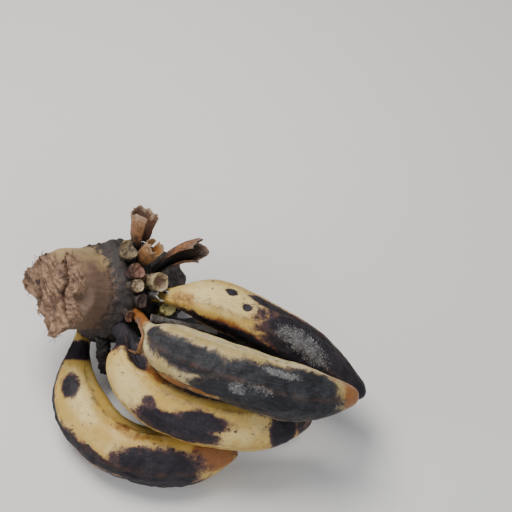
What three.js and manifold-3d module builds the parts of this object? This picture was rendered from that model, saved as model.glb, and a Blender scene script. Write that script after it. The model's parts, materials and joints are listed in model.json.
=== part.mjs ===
// A hand of over-ripe plantains on a short length of its stalk, lying on a flat surface.
// Units are millimetres and +Z is up. The hand lies on the bellies of its three lower
// fruits and on the lower rim of the stalk. The stalk and the crown that swells from it
// grew as one piece. Each fruit, each bare stub of a fruit that was broken off and each
// curled husk of dried peel is a piece that could be snapped from the crown.
import * as THREE from "three";
import { mergeVertices } from "three/addons/utils/BufferGeometryUtils.js";
import Module from "manifold-3d";

// ---- Driving dimensions ----------------------------------------------------------

const FRUIT_SIDES = 20; // four facets to each of a fruit's five faces
const FRUIT_RINGS = 24; // rings from a fruit's stem to its tip
const RING_CROWDING = 0.055; // draws the rings towards the two ends, where the radius changes most
const STALK_SIDES = 36;
const STALK_RINGS = 20;
const STUB_SIDES = 12;
const STUB_RINGS = 7;
const HUSK_SIDES = 16;
const FRAME_STEPS = 400; // stations along a curve at which its frame is worked out

const GAP = 0.5; // left between one piece and the next
const PRESSED_FLAT = 1.2; // soft fruit is flattened below this height, where it bears on the table

// The stalk leans out of the pile: its torn end looks up and away from the fruit.
const STALK_TOP = new THREE.Vector3(-120, 42, 112); // middle of the torn end
const STALK_AXIS = new THREE.Vector3(-0.64, -0.385, 0.667).normalize(); // towards the torn end
const STALK_LENGTH = 132;
const STALK_RADIUS = 36;
const TEAR_HEIGHT = 4; // how far the torn rim rises and falls
const TEAR_LIP = 11; // a wedge of fibre left standing on one side of the tear
const TEAR_LIP_ANGLE = 168; // degrees round the stalk, see onCrown
const CROWN_RISE = 13; // how far the crown swells from the stalk
const CROWN_MIDDLE = -22;
const CROWN_HALF_WIDTH = 110;
const CROWN_START = 30; // depths below the torn end
const CROWN_END = 108;
const ROOT_REACH = STALK_RADIUS - 4; // stems start inside the crown and are cut back to it

const STEM_COLLAR = 1.35; // a stem's swollen root, as a share of the stem's radius
const TIP_RADIUS = 7.5; // the blunt scar at a fruit's end
const FRUIT_FACES = 5; // soft ridges run along a plantain between flatter faces
const RIDGE_RISE = 0.045; // how far a ridge stands out, as a share of the radius

const YELLOW_PEEL = { color: 0xc9ab55, roughness: 0.6, metalness: 0 };
const BLACK_PEEL = { color: 0x3a3433, roughness: 0.65, metalness: 0 };
const STALK_SKIN = { color: 0x5a4236, roughness: 0.85, metalness: 0 };
const DRIED_STEM = { color: 0x6b4a38, roughness: 0.8, metalness: 0 };
const DRIED_PEEL = { color: 0x8a5a2c, roughness: 0.7, metalness: 0 };

// Each fruit: the angle and depth at which its stem leaves the crown, the rest of its
// middle line down to the tip, its thickest radius, the radius and length of its bare
// stem, the lengths over which it swells and tapers, how blunt it is where it swells
// from the stem (0 to 1), and how far its ridges are turned.
const FRUITS = [
  {
    name: "banana_1",
    look: YELLOW_PEEL,
    root: [-120, 52],
    path: [[-109, 22, 44], [-114, 1, 36], [-114, -21, 29], [-102, -49, 25],
      [-73, -75, 24], [-39, -86, 24], [-6, -86, 24], [25, -83, 24]],
    girth: 25.5, neck: 7.5, stem: 26, shoulder: 60, taper: 54, blunt: 0.4, turn: 0.4,
  },
  {
    name: "banana_2",
    look: YELLOW_PEEL,
    root: [-56, 50],
    path: [[-63, 0, 82], [-61, -26, 78], [-44, -50, 72], [-17, -67, 69],
      [17, -76, 65], [49, -78, 59], [73, -74, 54], [91, -68, 48]],
    girth: 24.5, neck: 8.5, stem: 36, shoulder: 36, taper: 58, blunt: 0.9, turn: 0.9,
  },
  {
    name: "banana_3",
    look: BLACK_PEEL,
    root: [-33, 58],
    path: [[-41, -4, 106], [-24, -29, 112], [5, -46, 112], [36, -59, 108],
      [66, -70, 102], [98, -73, 93], [130, -70, 82]],
    girth: 25.5, neck: 4.5, stem: 60, shoulder: 34, taper: 68, blunt: 0.9, turn: 0.2,
  },
  {
    name: "banana_4",
    look: YELLOW_PEEL,
    root: [-12, 70],
    path: [[-20, 34, 97], [7, 26, 99], [30, 17, 95], [66, -4, 86], [93, -21, 76],
      [119, -43, 66], [139, -58, 57]],
    girth: 22.5, neck: 6, stem: 32, shoulder: 50, taper: 70, blunt: 0.2, turn: 0.6,
  },
  {
    name: "banana_5",
    look: BLACK_PEEL,
    root: [-40, 90],
    path: [[-21, 36, 46], [9, 30, 32], [45, 14, 24], [85, -8, 23], [123, -26, 24]],
    girth: 23.5, neck: 6.5, stem: 28, shoulder: 38, taper: 56, blunt: 0.2, turn: 0.1,
  },
  {
    name: "banana_6",
    look: BLACK_PEEL,
    root: [-81, 72],
    path: [[-64, 8, 36], [-47, -6, 28], [-8, -22, 21.5], [35, -39, 21.5], [76, -52, 23]],
    girth: 22, neck: 6.5, stem: 24, shoulder: 34, taper: 52, blunt: 0.2, turn: 0.7,
  },
];

// Stubs of fruits that were broken off, each a path of crown points (angle, depth and
// distance from the stalk's middle line) from its root to its broken end.
const STUBS = [
  { name: "stub_1", path: [[11, 44], [11, 43, 50], [10, 40, 60]], radius: 7.5 },
  { name: "stub_2", path: [[-3, 43], [-3, 42, 50], [-3, 39, 60]], radius: 6 },
  { name: "stub_3", path: [[-16, 48], [-16, 47, 50], [-16, 44, 60]], radius: 6.5 },
  { name: "stub_4", path: [[2, 62], [1, 58, 56], [-1, 54, 72]], radius: 9 },
  { name: "stub_5", path: [[-31, 80], [-30, 80, 50], [-20, 69, 70]], radius: 7 },
  { name: "stub_6", path: [[-33, 41], [-32, 41, 50], [-31, 38, 57]], radius: 5.5 },
  { name: "stub_7", path: [[-84, 42], [-84, 46, 50], [-92, 52, 60], [-98, 66, 74]], radius: 8 },
  { name: "stub_8", path: [[33, 46], [32, 44, 50], [28, 34, 62]], radius: 9 },
  { name: "stub_9", path: [[60, 84], [61, 84, 50], [66, 88, 66]], radius: 7.5 },
];

// Husks of dried peel, open at the far end, on paths of crown points. mouth is the open
// end's two half widths.
const HUSKS = [
  { name: "husk_1", path: [[47, 78], [45, 72, 56], [46, 62, 70], [49, 56, 81]], mouth: [16, 12] },
  { name: "husk_2", path: [[27, 68], [26, 62, 54], [21, 48, 73]], mouth: [12.5, 10] },
  { name: "husk_3", path: [[12, 72], [14, 74, 60], [20, 84, 80], [12, 88, 93]], mouth: [12, 10] },
  { name: "husk_4", path: [[-15, 64], [-13, 61, 56], [-9, 55, 68]], mouth: [6.5, 6.5] },
];
const HUSK_WALL = 2.2;

// ---- Shapes ----------------------------------------------------------------------

const smooth = (x) => THREE.MathUtils.smoothstep(x, 0, 1);
const { lerp, degToRad } = THREE.MathUtils;

// Two directions across the stalk: angles on the crown turn from the first to the second.
const ACROSS = new THREE.Vector3(1, 0, 0).projectOnPlane(STALK_AXIS).normalize();
const UPWARDS = new THREE.Vector3().crossVectors(STALK_AXIS, ACROSS);

// The point at an angle round the stalk, a depth below its torn end and a distance from
// its middle line.
function onCrown(angle, depth, reach) {
  return STALK_TOP.clone()
    .addScaledVector(STALK_AXIS, -depth)
    .addScaledVector(ACROSS, reach * Math.cos(degToRad(angle)))
    .addScaledVector(UPWARDS, reach * Math.sin(degToRad(angle)));
}

// A closed lathe about +Y with its seam merged. Each ring is [height, radius], and the
// heights run from 0 to 1 and back down again where the piece is hollow.
function spindle(rings, sides) {
  const profile = [
    new THREE.Vector2(0, rings[0][0]),
    ...rings.map(([height, radius]) => new THREE.Vector2(radius, height)),
    new THREE.Vector2(0, rings.at(-1)[0]),
  ];
  const lathe = new THREE.LatheGeometry(profile, sides);
  lathe.deleteAttribute("normal");
  lathe.deleteAttribute("uv");
  return mergeVertices(lathe);
}

// Carries a spindle onto a curve. section(angle, t) gives the two scales of its radius,
// along the curve's normal and its binormal.
function bendAlong(geometry, curve, section) {
  const frames = curve.computeFrenetFrames(FRAME_STEPS, false);
  const position = geometry.getAttribute("position");
  for (let i = 0; i < position.count; i++) {
    const t = THREE.MathUtils.clamp(position.getY(i), 0, 1);
    const radius = Math.hypot(position.getX(i), position.getZ(i));
    const angle = Math.atan2(position.getZ(i), position.getX(i));
    const [wide, deep] = section(angle, t);
    const step = Math.round(t * FRAME_STEPS);
    const point = curve.getPointAt(t);
    point.addScaledVector(frames.normals[step], radius * wide * Math.cos(angle));
    point.addScaledVector(frames.binormals[step], -radius * deep * Math.sin(angle));
    position.setXYZ(i, point.x, point.y, point.z);
  }
  return geometry;
}

function curveThrough(points) {
  const curve = new THREE.CatmullRomCurve3(points);
  curve.arcLengthDivisions = FRAME_STEPS;
  return curve;
}

// A fruit's radius at a distance along its middle line: collar, stem, belly and tip.
function fruitRadius(fruit, along, length) {
  const stem = fruit.neck * lerp(STEM_COLLAR, 1, smooth(along / fruit.stem));
  const opened = THREE.MathUtils.clamp((along - fruit.stem) / fruit.shoulder, 0, 1);
  const round = Math.sqrt(opened * (2 - opened));
  const body = lerp(stem, fruit.girth, lerp(smooth(opened), round, fruit.blunt));
  const close = Math.sin((Math.PI / 2) * Math.min(1, (length - along) / fruit.taper));
  return lerp(TIP_RADIUS, body, close);
}

// grow adds to the radius, for the cutter that trims what lies against the fruit.
function fruitGeometry(fruit, grow) {
  const [angle, depth] = fruit.root;
  const curve = curveThrough([
    onCrown(angle, depth, ROOT_REACH),
    ...fruit.path.map((point) => new THREE.Vector3(...point)),
  ]);
  const length = curve.getLength();
  const rings = [];
  for (let i = 0; i <= FRUIT_RINGS; i++) {
    const u = i / FRUIT_RINGS;
    const t = u - RING_CROWDING * Math.sin(2 * Math.PI * u);
    rings.push([t, fruitRadius(fruit, t * length, length) + grow]);
  }
  rings.at(-1)[1] *= 0.8; // the end scar's edge is rounded
  return bendAlong(spindle(rings, FRUIT_SIDES), curve, (a) => {
    const ridge = 1 + RIDGE_RISE * Math.cos(FRUIT_FACES * (a - fruit.turn));
    return [ridge, ridge];
  });
}

// The curve through crown points, the first of them inside the crown.
function crownCurve([root, ...rest]) {
  return curveThrough([
    onCrown(...root, ROOT_REACH),
    ...rest.map((point) => onCrown(...point)),
  ]);
}

// A stub flares a little to its broken end, which is dished.
function stubGeometry(stub, grow) {
  const rings = [];
  for (let i = 0; i <= STUB_RINGS; i++) {
    const t = i / STUB_RINGS;
    rings.push([t, stub.radius * (1 - 0.22 * Math.sin(Math.PI * t)) + grow]);
  }
  rings.push([0.94, stub.radius * 0.5]);
  return bendAlong(spindle(rings, STUB_SIDES), crownCurve(stub.path), () => [1, 1]);
}

// A husk is a thin flattened cup on a narrow foot.
function huskGeometry(husk, grow) {
  const [wide, deep] = husk.mouth.map((half) => half + grow);
  const foot = 0.45; // the foot's radius, as a share of the mouth's
  const outside = [0, 0.25, 0.45, 0.6, 0.8, 1];
  const inside = [1, 0.85, 0.7, 0.58];
  const swell = (t) => lerp(foot, 1, smooth((t - 0.3) / 0.5));
  const rings = [
    ...outside.map((t) => [t, swell(t)]),
    ...inside.map((t) => [t, swell(t) - HUSK_WALL / deep]),
  ];
  return bendAlong(spindle(rings, HUSK_SIDES), crownCurve(husk.path), () => [wide, deep]);
}

// How far an angle is from another, in radians, whichever way round is nearer.
function turnBetween(a, b) {
  return Math.abs(Math.atan2(Math.sin(a - b), Math.cos(a - b)));
}

// The stalk's barrel swells into the crown on the side of the fruit, and its torn end is
// uneven. grow adds to the radius, for the cutter that trims what stands on the crown.
function stalkGeometry(grow) {
  const bottom = STALK_TOP.clone().addScaledVector(STALK_AXIS, -STALK_LENGTH);
  const curve = new THREE.LineCurve3(bottom, STALK_TOP);
  const normal = curve.computeFrenetFrames(1, false).normals[0];
  const normalAngle = Math.atan2(normal.dot(UPWARDS), normal.dot(ACROSS));
  const rings = [];
  for (let i = 0; i <= STALK_RINGS; i++) {
    const t = i / STALK_RINGS;
    rings.push([t, i === 0 || i === STALK_RINGS ? 0.94 : 1]);
  }
  const geometry = bendAlong(spindle(rings, STALK_SIDES), curve, (a, t) => {
    const depth = (1 - t) * STALK_LENGTH;
    const angle = normalAngle - a;
    const aside = turnBetween(angle, degToRad(CROWN_MIDDLE));
    const around = smooth((degToRad(CROWN_HALF_WIDTH) - aside) / 0.6);
    const start = smooth((depth - CROWN_START) / 14);
    const end = smooth((CROWN_END - depth) / 22);
    const lip = TEAR_LIP * smooth(1 - turnBetween(angle, degToRad(TEAR_LIP_ANGLE)) / 0.55);
    const torn = smooth(1 - depth / 12);
    const radius = STALK_RADIUS + CROWN_RISE * around * start * end + lip * torn + grow;
    return [radius, radius];
  });
  const position = geometry.getAttribute("position");
  for (let i = 0; i < position.count; i++) {
    const point = new THREE.Vector3().fromBufferAttribute(position, i);
    const above = point.clone().sub(STALK_TOP);
    if (above.dot(STALK_AXIS) < -1) continue;
    const angle = Math.atan2(above.dot(UPWARDS), above.dot(ACROSS));
    const rim = Math.min(1, above.projectOnPlane(STALK_AXIS).length() / STALK_RADIUS);
    const tear = TEAR_HEIGHT * rim * (Math.sin(3 * angle) + 0.6 * Math.sin(7 * angle + 1));
    point.addScaledVector(STALK_AXIS, tear);
    position.setXYZ(i, point.x, point.y, point.z);
  }
  return geometry;
}

// ---- Cutting ---------------------------------------------------------------------

const wasm = await Module();
wasm.setup();

function toSolid(geometry) {
  return new wasm.Manifold(
    new wasm.Mesh({
      numProp: 3,
      vertProperties: Float32Array.from(geometry.getAttribute("position").array),
      triVerts: Uint32Array.from(geometry.index.array),
    }),
  );
}

function toGeometry(solid) {
  const mesh = solid.getMesh();
  const geometry = new THREE.BufferGeometry();
  geometry.setAttribute("position", new THREE.BufferAttribute(mesh.vertProperties, 3));
  geometry.setIndex(new THREE.BufferAttribute(mesh.triVerts, 1));
  return geometry;
}

// What is left of a piece clear of every cutter: its largest part.
function trim(geometry, cutters) {
  const parts = toSolid(geometry).subtract(wasm.Manifold.union(cutters)).decompose();
  parts.sort((a, b) => b.volume() - a.volume());
  return toGeometry(parts[0]);
}

// Soft fruit is pressed flat where it bears on the table.
function pressFlat(geometry) {
  const position = geometry.getAttribute("position");
  for (let i = 0; i < position.count; i++) {
    position.setZ(i, Math.max(position.getZ(i), PRESSED_FLAT));
  }
  geometry.computeVertexNormals();
  return geometry;
}

// ---- The hand --------------------------------------------------------------------

const hand = new THREE.Group();

function addPiece(name, geometry, look) {
  const mesh = new THREE.Mesh(pressFlat(geometry), new THREE.MeshStandardMaterial(look));
  mesh.name = name;
  hand.add(mesh);
}

// Each piece gives way to those before it, as soft fruit does where it lies on other
// fruit.
addPiece("stalk", stalkGeometry(0), STALK_SKIN);
const cutters = [toSolid(stalkGeometry(GAP))];

function addTrimmed(pieces, geometryOf, look) {
  for (const piece of pieces) {
    addPiece(piece.name, trim(geometryOf(piece, 0), cutters), piece.look ?? look);
    cutters.push(toSolid(geometryOf(piece, GAP)));
  }
}

addTrimmed(FRUITS, fruitGeometry);
addTrimmed(STUBS, stubGeometry, DRIED_STEM);
addTrimmed(HUSKS, huskGeometry, DRIED_PEEL);

// The hand stands on z = 0 with the middle of its box over the origin.
const box = new THREE.Box3().setFromObject(hand, true);
const middle = box.getCenter(new THREE.Vector3());
hand.position.set(-middle.x, -middle.y, -box.min.z);

export default hand;
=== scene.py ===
# %% [markdown]
# # A hand of over-ripe plantains
# Six soft plantains hang from a torn length of stalk, with the broken stubs and dried
# husks of fruits that are gone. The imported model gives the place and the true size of
# every piece. Each grown piece gets a fine skin measured off its own solid, so it can
# carry ridges, dents and wrinkles, and one procedural peel with its own pattern of rot.

# %%
import json
import math
import bmesh
import bpy
import numpy as np
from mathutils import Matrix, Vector, noise
from mathutils.bvhtree import BVHTree

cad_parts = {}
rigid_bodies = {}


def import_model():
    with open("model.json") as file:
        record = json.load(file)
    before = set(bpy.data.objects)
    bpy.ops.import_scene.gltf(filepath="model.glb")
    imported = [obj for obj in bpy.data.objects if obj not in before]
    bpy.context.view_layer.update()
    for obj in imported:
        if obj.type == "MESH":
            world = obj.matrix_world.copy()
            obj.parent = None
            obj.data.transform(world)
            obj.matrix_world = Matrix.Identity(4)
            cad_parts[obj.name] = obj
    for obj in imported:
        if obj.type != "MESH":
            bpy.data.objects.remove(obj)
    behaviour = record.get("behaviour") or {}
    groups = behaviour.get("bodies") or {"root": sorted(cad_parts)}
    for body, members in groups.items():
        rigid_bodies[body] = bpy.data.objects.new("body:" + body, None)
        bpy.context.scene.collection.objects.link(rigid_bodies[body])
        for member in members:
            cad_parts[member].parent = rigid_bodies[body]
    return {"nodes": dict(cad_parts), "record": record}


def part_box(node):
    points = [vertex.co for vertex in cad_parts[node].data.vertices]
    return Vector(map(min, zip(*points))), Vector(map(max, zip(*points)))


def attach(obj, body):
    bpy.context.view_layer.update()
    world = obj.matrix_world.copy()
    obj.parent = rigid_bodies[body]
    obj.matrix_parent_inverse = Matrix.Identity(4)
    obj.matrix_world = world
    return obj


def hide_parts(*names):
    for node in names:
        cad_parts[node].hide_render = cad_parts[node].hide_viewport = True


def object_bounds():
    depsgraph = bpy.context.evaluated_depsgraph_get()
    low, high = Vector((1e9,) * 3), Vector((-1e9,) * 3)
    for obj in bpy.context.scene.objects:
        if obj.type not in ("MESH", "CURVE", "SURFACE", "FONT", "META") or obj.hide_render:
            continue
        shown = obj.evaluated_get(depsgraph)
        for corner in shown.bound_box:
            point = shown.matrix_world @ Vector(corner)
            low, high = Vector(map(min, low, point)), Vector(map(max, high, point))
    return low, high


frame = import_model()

CAD_LOW, CAD_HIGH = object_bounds()
MIDDLE = (CAD_LOW + CAD_HIGH) / 2
FLOOR = Vector((MIDDLE.x, MIDDLE.y, CAD_LOW.z))  # the table, under the middle of the hand
MM = 0.001
print("solids:", len(frame["nodes"]), "box mm:", [round(v / MM) for v in CAD_HIGH - CAD_LOW])

# %% [markdown]
# ## The camera and the light
# The hand is seen from the front and from well above, as it lies on a table. One large
# soft lamp overhead gives the highlights along the tops of the fruits, and two weaker
# ones open up the dark sides between them.

# %%
ELEVATION = math.radians(60)
BACK = Vector((0, -math.cos(ELEVATION), math.sin(ELEVATION)))  # from the hand to the camera
SKYWARD = Vector((0, math.sin(ELEVATION), math.cos(ELEVATION)))  # up in the picture

camera = bpy.data.objects.new("camera", bpy.data.cameras.new("camera"))
bpy.context.scene.collection.objects.link(camera)
bpy.context.scene.camera = camera
camera.data.lens = 85
camera.data.sensor_width = 36
eye_level = FLOOR + Vector((0.006, -0.0058, 0.0538))
camera.location = eye_level + BACK * 1.088
target = eye_level + Vector((0.0558, 0, 0)) + SKYWARD * 0.0828
camera.rotation_euler = (target - camera.location).to_track_quat("-Z", "Y").to_euler()


def area_lamp(name, place, size, power, colour):
    lamp = bpy.data.objects.new(name, bpy.data.lights.new(name, "AREA"))
    bpy.context.scene.collection.objects.link(lamp)
    lamp.data.shape = "DISK"
    lamp.data.size = size
    lamp.data.energy = power
    lamp.data.color = colour
    lamp.location = FLOOR + Vector(place)
    lamp.rotation_euler = (FLOOR - lamp.location).to_track_quat("-Z", "Y").to_euler()


area_lamp("overhead", (-0.25, 0.35, 1.2), 0.7, 17, (1, 0.97, 0.93))
area_lamp("front", (0.5, -1.1, 0.8), 1.0, 7, (0.95, 0.97, 1))
area_lamp("left", (-1.2, -0.3, 0.6), 0.8, 5, (1, 0.98, 0.96))
world = bpy.data.worlds.new("room")
bpy.context.scene.world = world
world.use_nodes = True
world.node_tree.nodes["Background"].inputs["Color"].default_value = (0.9, 0.93, 1, 1)
world.node_tree.nodes["Background"].inputs["Strength"].default_value = 0.32
print("camera at", [round(v, 3) for v in camera.location])

# %% [markdown]
# ## Node helpers
# Small functions for shader trees, so that each material below reads as a recipe.

# %%
def new_material(name):
    material = bpy.data.materials.new(name)
    material.use_nodes = True
    tree = material.node_tree
    return material, tree, tree.nodes["Principled BSDF"]


def add(tree, kind, **values):
    node = tree.nodes.new(kind)
    for key, value in values.items():
        setattr(node, key, value)
    return node


def connect(tree, value, socket):
    if isinstance(value, bpy.types.NodeSocket):
        tree.links.new(value, socket)
    else:
        socket.default_value = value


def field(tree, name):
    return add(tree, "ShaderNodeAttribute", attribute_name=name).outputs["Fac"]


def vector_field(tree, name):
    return add(tree, "ShaderNodeAttribute", attribute_name=name).outputs["Vector"]


def noise_of(tree, where, scale, detail=4, rough=0.55, warp=0.0):
    node = add(tree, "ShaderNodeTexNoise")
    connect(tree, where, node.inputs["Vector"])
    for key, value in (("Scale", scale), ("Detail", detail), ("Roughness", rough), ("Distortion", warp)):
        node.inputs[key].default_value = value
    return node.outputs["Fac"]


def stretched(tree, where, scale):
    node = add(tree, "ShaderNodeVectorMath", operation="MULTIPLY")
    connect(tree, where, node.inputs[0])
    node.inputs[1].default_value = scale
    return node.outputs["Vector"]


def maths(tree, operation, *values, clamp=False):
    node = add(tree, "ShaderNodeMath", operation=operation, use_clamp=clamp)
    for value, socket in zip(values, node.inputs):
        connect(tree, value, socket)
    return node.outputs["Value"]


def remap(tree, value, low, high, to_low=0.0, to_high=1.0):
    node = add(tree, "ShaderNodeMapRange")
    connect(tree, value, node.inputs["Value"])
    sockets = ("From Min", "From Max", "To Min", "To Max")
    for socket, limit in zip(sockets, (low, high, to_low, to_high)):
        connect(tree, limit, node.inputs[socket])
    return node.outputs["Result"]


def mixed(tree, factor, first, second, blend="MIX"):
    node = add(tree, "ShaderNodeMix", data_type="RGBA", blend_type=blend)
    connect(tree, factor, node.inputs[0])
    connect(tree, first, node.inputs[6])
    connect(tree, second, node.inputs[7])
    return node.outputs[2]


def bumped(tree, height, distance, strength=1.0, below=None):
    node = add(tree, "ShaderNodeBump")
    connect(tree, height, node.inputs["Height"])
    node.inputs["Distance"].default_value = distance
    node.inputs["Strength"].default_value = strength
    if below is not None:
        tree.links.new(below, node.inputs["Normal"])
    return node.outputs["Normal"]


# %% [markdown]
# ## The table
# A plain pale surface.

# %%
floor_mesh = bpy.data.meshes.new("table")
reach = 3.0
floor_mesh.from_pydata(
    [(FLOOR.x + x * reach, FLOOR.y + y * reach, FLOOR.z) for x, y in ((-1, -1), (1, -1), (1, 1), (-1, 1))],
    [], [(0, 1, 2, 3)])
table = bpy.data.objects.new("table", floor_mesh)
bpy.context.scene.collection.objects.link(table)
table_paint, tree, shader = new_material("table_paint")
shader.inputs["Base Color"].default_value = (0.74, 0.73, 0.71, 1)
shader.inputs["Roughness"].default_value = 0.85
floor_mesh.materials.append(table_paint)

# %% [markdown]
# ## Measuring a solid
# A fruit's middle line is found from its own solid: points are sorted by how far they
# lie from the tip across the surface, then each station is centred by rays cast to the
# skin all round it. Casting rays from the finished line gives an even grid of skin
# points that runs along and around the fruit, which every later detail is placed on.

# %%
def solid_of(node):
    """The node's points, its edges and a tree to cast rays at, with doubled points merged."""
    mesh = bmesh.new()
    mesh.from_mesh(frame["nodes"][node].data)
    bmesh.ops.remove_doubles(mesh, verts=mesh.verts, dist=1e-6)
    mesh.verts.ensure_lookup_table()
    points = np.array([v.co for v in mesh.verts])
    links = [[e.other_vert(v).index for e in v.link_edges] for v in mesh.verts]
    rays = BVHTree.FromBMesh(mesh)
    mesh.free()
    return points, links, rays


def distances_from(start, points, links):
    """Distance along the edges from one point to each other point."""
    far = np.full(len(points), 1e9)
    far[start] = 0
    waiting = {start}
    while waiting:
        here = min(waiting, key=lambda i: far[i])
        waiting.remove(here)
        for other in links[here]:
            step = far[here] + np.linalg.norm(points[other] - points[here])
            if step < far[other] - 1e-9:
                far[other] = step
                waiting.add(other)
    return far


def evenly(line, count):
    """The line resampled at even distances."""
    lengths = np.concatenate([[0], np.cumsum(np.linalg.norm(np.diff(line, axis=0), axis=1))])
    at = np.linspace(0, lengths[-1], count)
    return np.stack([np.interp(at, lengths, line[:, k]) for k in range(3)], axis=1)


def softened(values, width, loop=False):
    """A Gaussian average down the first axis, width in steps."""
    if width <= 0:
        return values
    half = int(3 * width) + 1
    weights = np.exp(-0.5 * (np.arange(-half, half + 1) / width) ** 2)
    weights /= weights.sum()
    index = np.arange(len(values))[:, None] + np.arange(-half, half + 1)[None, :]
    index = index % len(values) if loop else np.clip(index, 0, len(values) - 1)
    return np.tensordot(weights, np.moveaxis(values[index], 1, 0), axes=(0, 0))


def tangents_of(line):
    tangents = np.gradient(line, axis=0)
    return tangents / np.linalg.norm(tangents, axis=1)[:, None]


def frames_of(line, facing):
    """Normals carried along the line without twisting, from facing at the middle."""
    tangents = tangents_of(line)
    middle = int(len(line) * 0.55)
    normals = np.zeros_like(line)
    normals[middle] = facing
    for order in (range(middle, len(line)), range(middle, -1, -1)):
        carried = np.array(facing, float)
        for i in order:
            carried = carried - tangents[i] * (carried @ tangents[i])
            carried /= np.linalg.norm(carried)
            normals[i] = carried
    return tangents, normals, np.cross(tangents, normals)


def centred(line, rays, reach, rounds=6):
    """Moves each station of the line to the middle of the section that it lies in."""
    for _ in range(rounds):
        tangents, normals, sides = frames_of(line, BACK)
        moved = line.copy()
        for i, point in enumerate(line):
            hits = []
            for a in np.linspace(0, 2 * np.pi, 16, endpoint=False):
                way = normals[i] * np.cos(a) + sides[i] * np.sin(a)
                hit = rays.ray_cast(Vector(point), Vector(way), reach)[0]
                if hit is not None:
                    hits.append(hit)
            if len(hits) > 9:
                moved[i] = np.mean(np.array(hits), axis=0)
        ends = moved[0].copy(), moved[-1].copy()
        line = softened(moved, 1.0)
        line[0], line[-1] = ends
        line = evenly(line, len(line))
    return line


def middle_line(node, stations=30):
    """A fruit's middle line from its stem to its tip."""
    points, links, rays = solid_of(node)
    low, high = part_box("stalk")
    crown = np.array((low + high) / 2)
    root = int(np.argmin(np.linalg.norm(points - crown, axis=1)))
    far = distances_from(root, points, links)
    tip = int(np.argmax(np.where(far < 1e8, far, 0)))
    far = distances_from(tip, points, links)
    reached = far < 1e8
    edges = np.linspace(0, far[reached].max(), 15)
    line = []
    for low_edge, high_edge in zip(edges[:-1], edges[1:]):
        band = points[reached & (far >= low_edge) & (far <= high_edge)]
        if len(band):
            line.append(band.mean(axis=0))
    line = evenly(np.array(line)[::-1], stations)
    return centred(line, rays, 0.05), rays


def reach_ends(line, rays):
    """The line carried on at both ends to the skin."""
    tangents = tangents_of(line)
    ends = []
    for point, way in ((line[0], -tangents[1]), (line[-1], tangents[-2])):
        hit = rays.ray_cast(Vector(point), Vector(way), 0.05)[0]
        ends.append(np.array(hit) if hit is not None else point)
    return np.concatenate([[ends[0]], line, [ends[1]]])


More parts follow.
